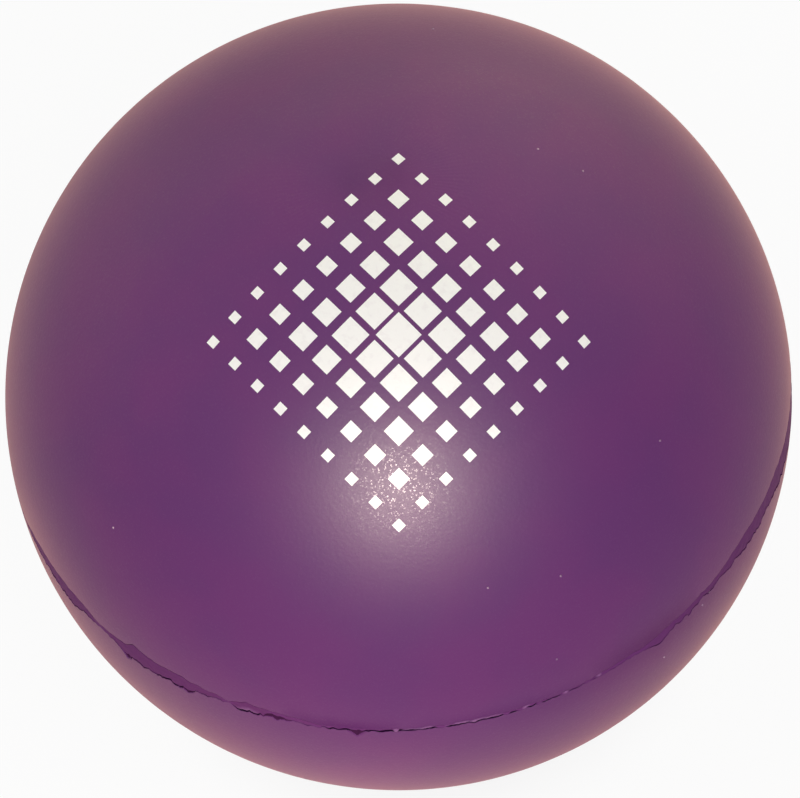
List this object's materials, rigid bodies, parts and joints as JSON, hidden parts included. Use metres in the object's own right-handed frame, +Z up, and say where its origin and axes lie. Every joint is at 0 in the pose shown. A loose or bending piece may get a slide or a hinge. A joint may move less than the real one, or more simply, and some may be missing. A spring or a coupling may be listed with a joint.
{
  "type": "stress ball",
  "caption": "Round moulded foam stress ball with a satin skin and a trimmed parting line around its middle, made to be squeezed in one hand.",
  "frame": {"origin": "middle of the small contact flat under the ball, on the surface it rests on", "axes": "+Z up along the mould axis, square to the parting plane; -Y is the front seen in the picture; +X is to the right of that view"},
  "size_m": [0.07, 0.07, 0.0695],
  "materials": {
    "foam": "open matt foam",
    "skin": "satin moulded skin with a fine grain",
    "flash": "matt, cut and torn",
    "print": "opaque white pad-printed ink"
  },
  "bodies": {
    "root": {"foam_core": "foam", "upper_skin": "skin", "lower_skin": "skin", "parting_flash": "flash"}
  },
  "joints": []
}
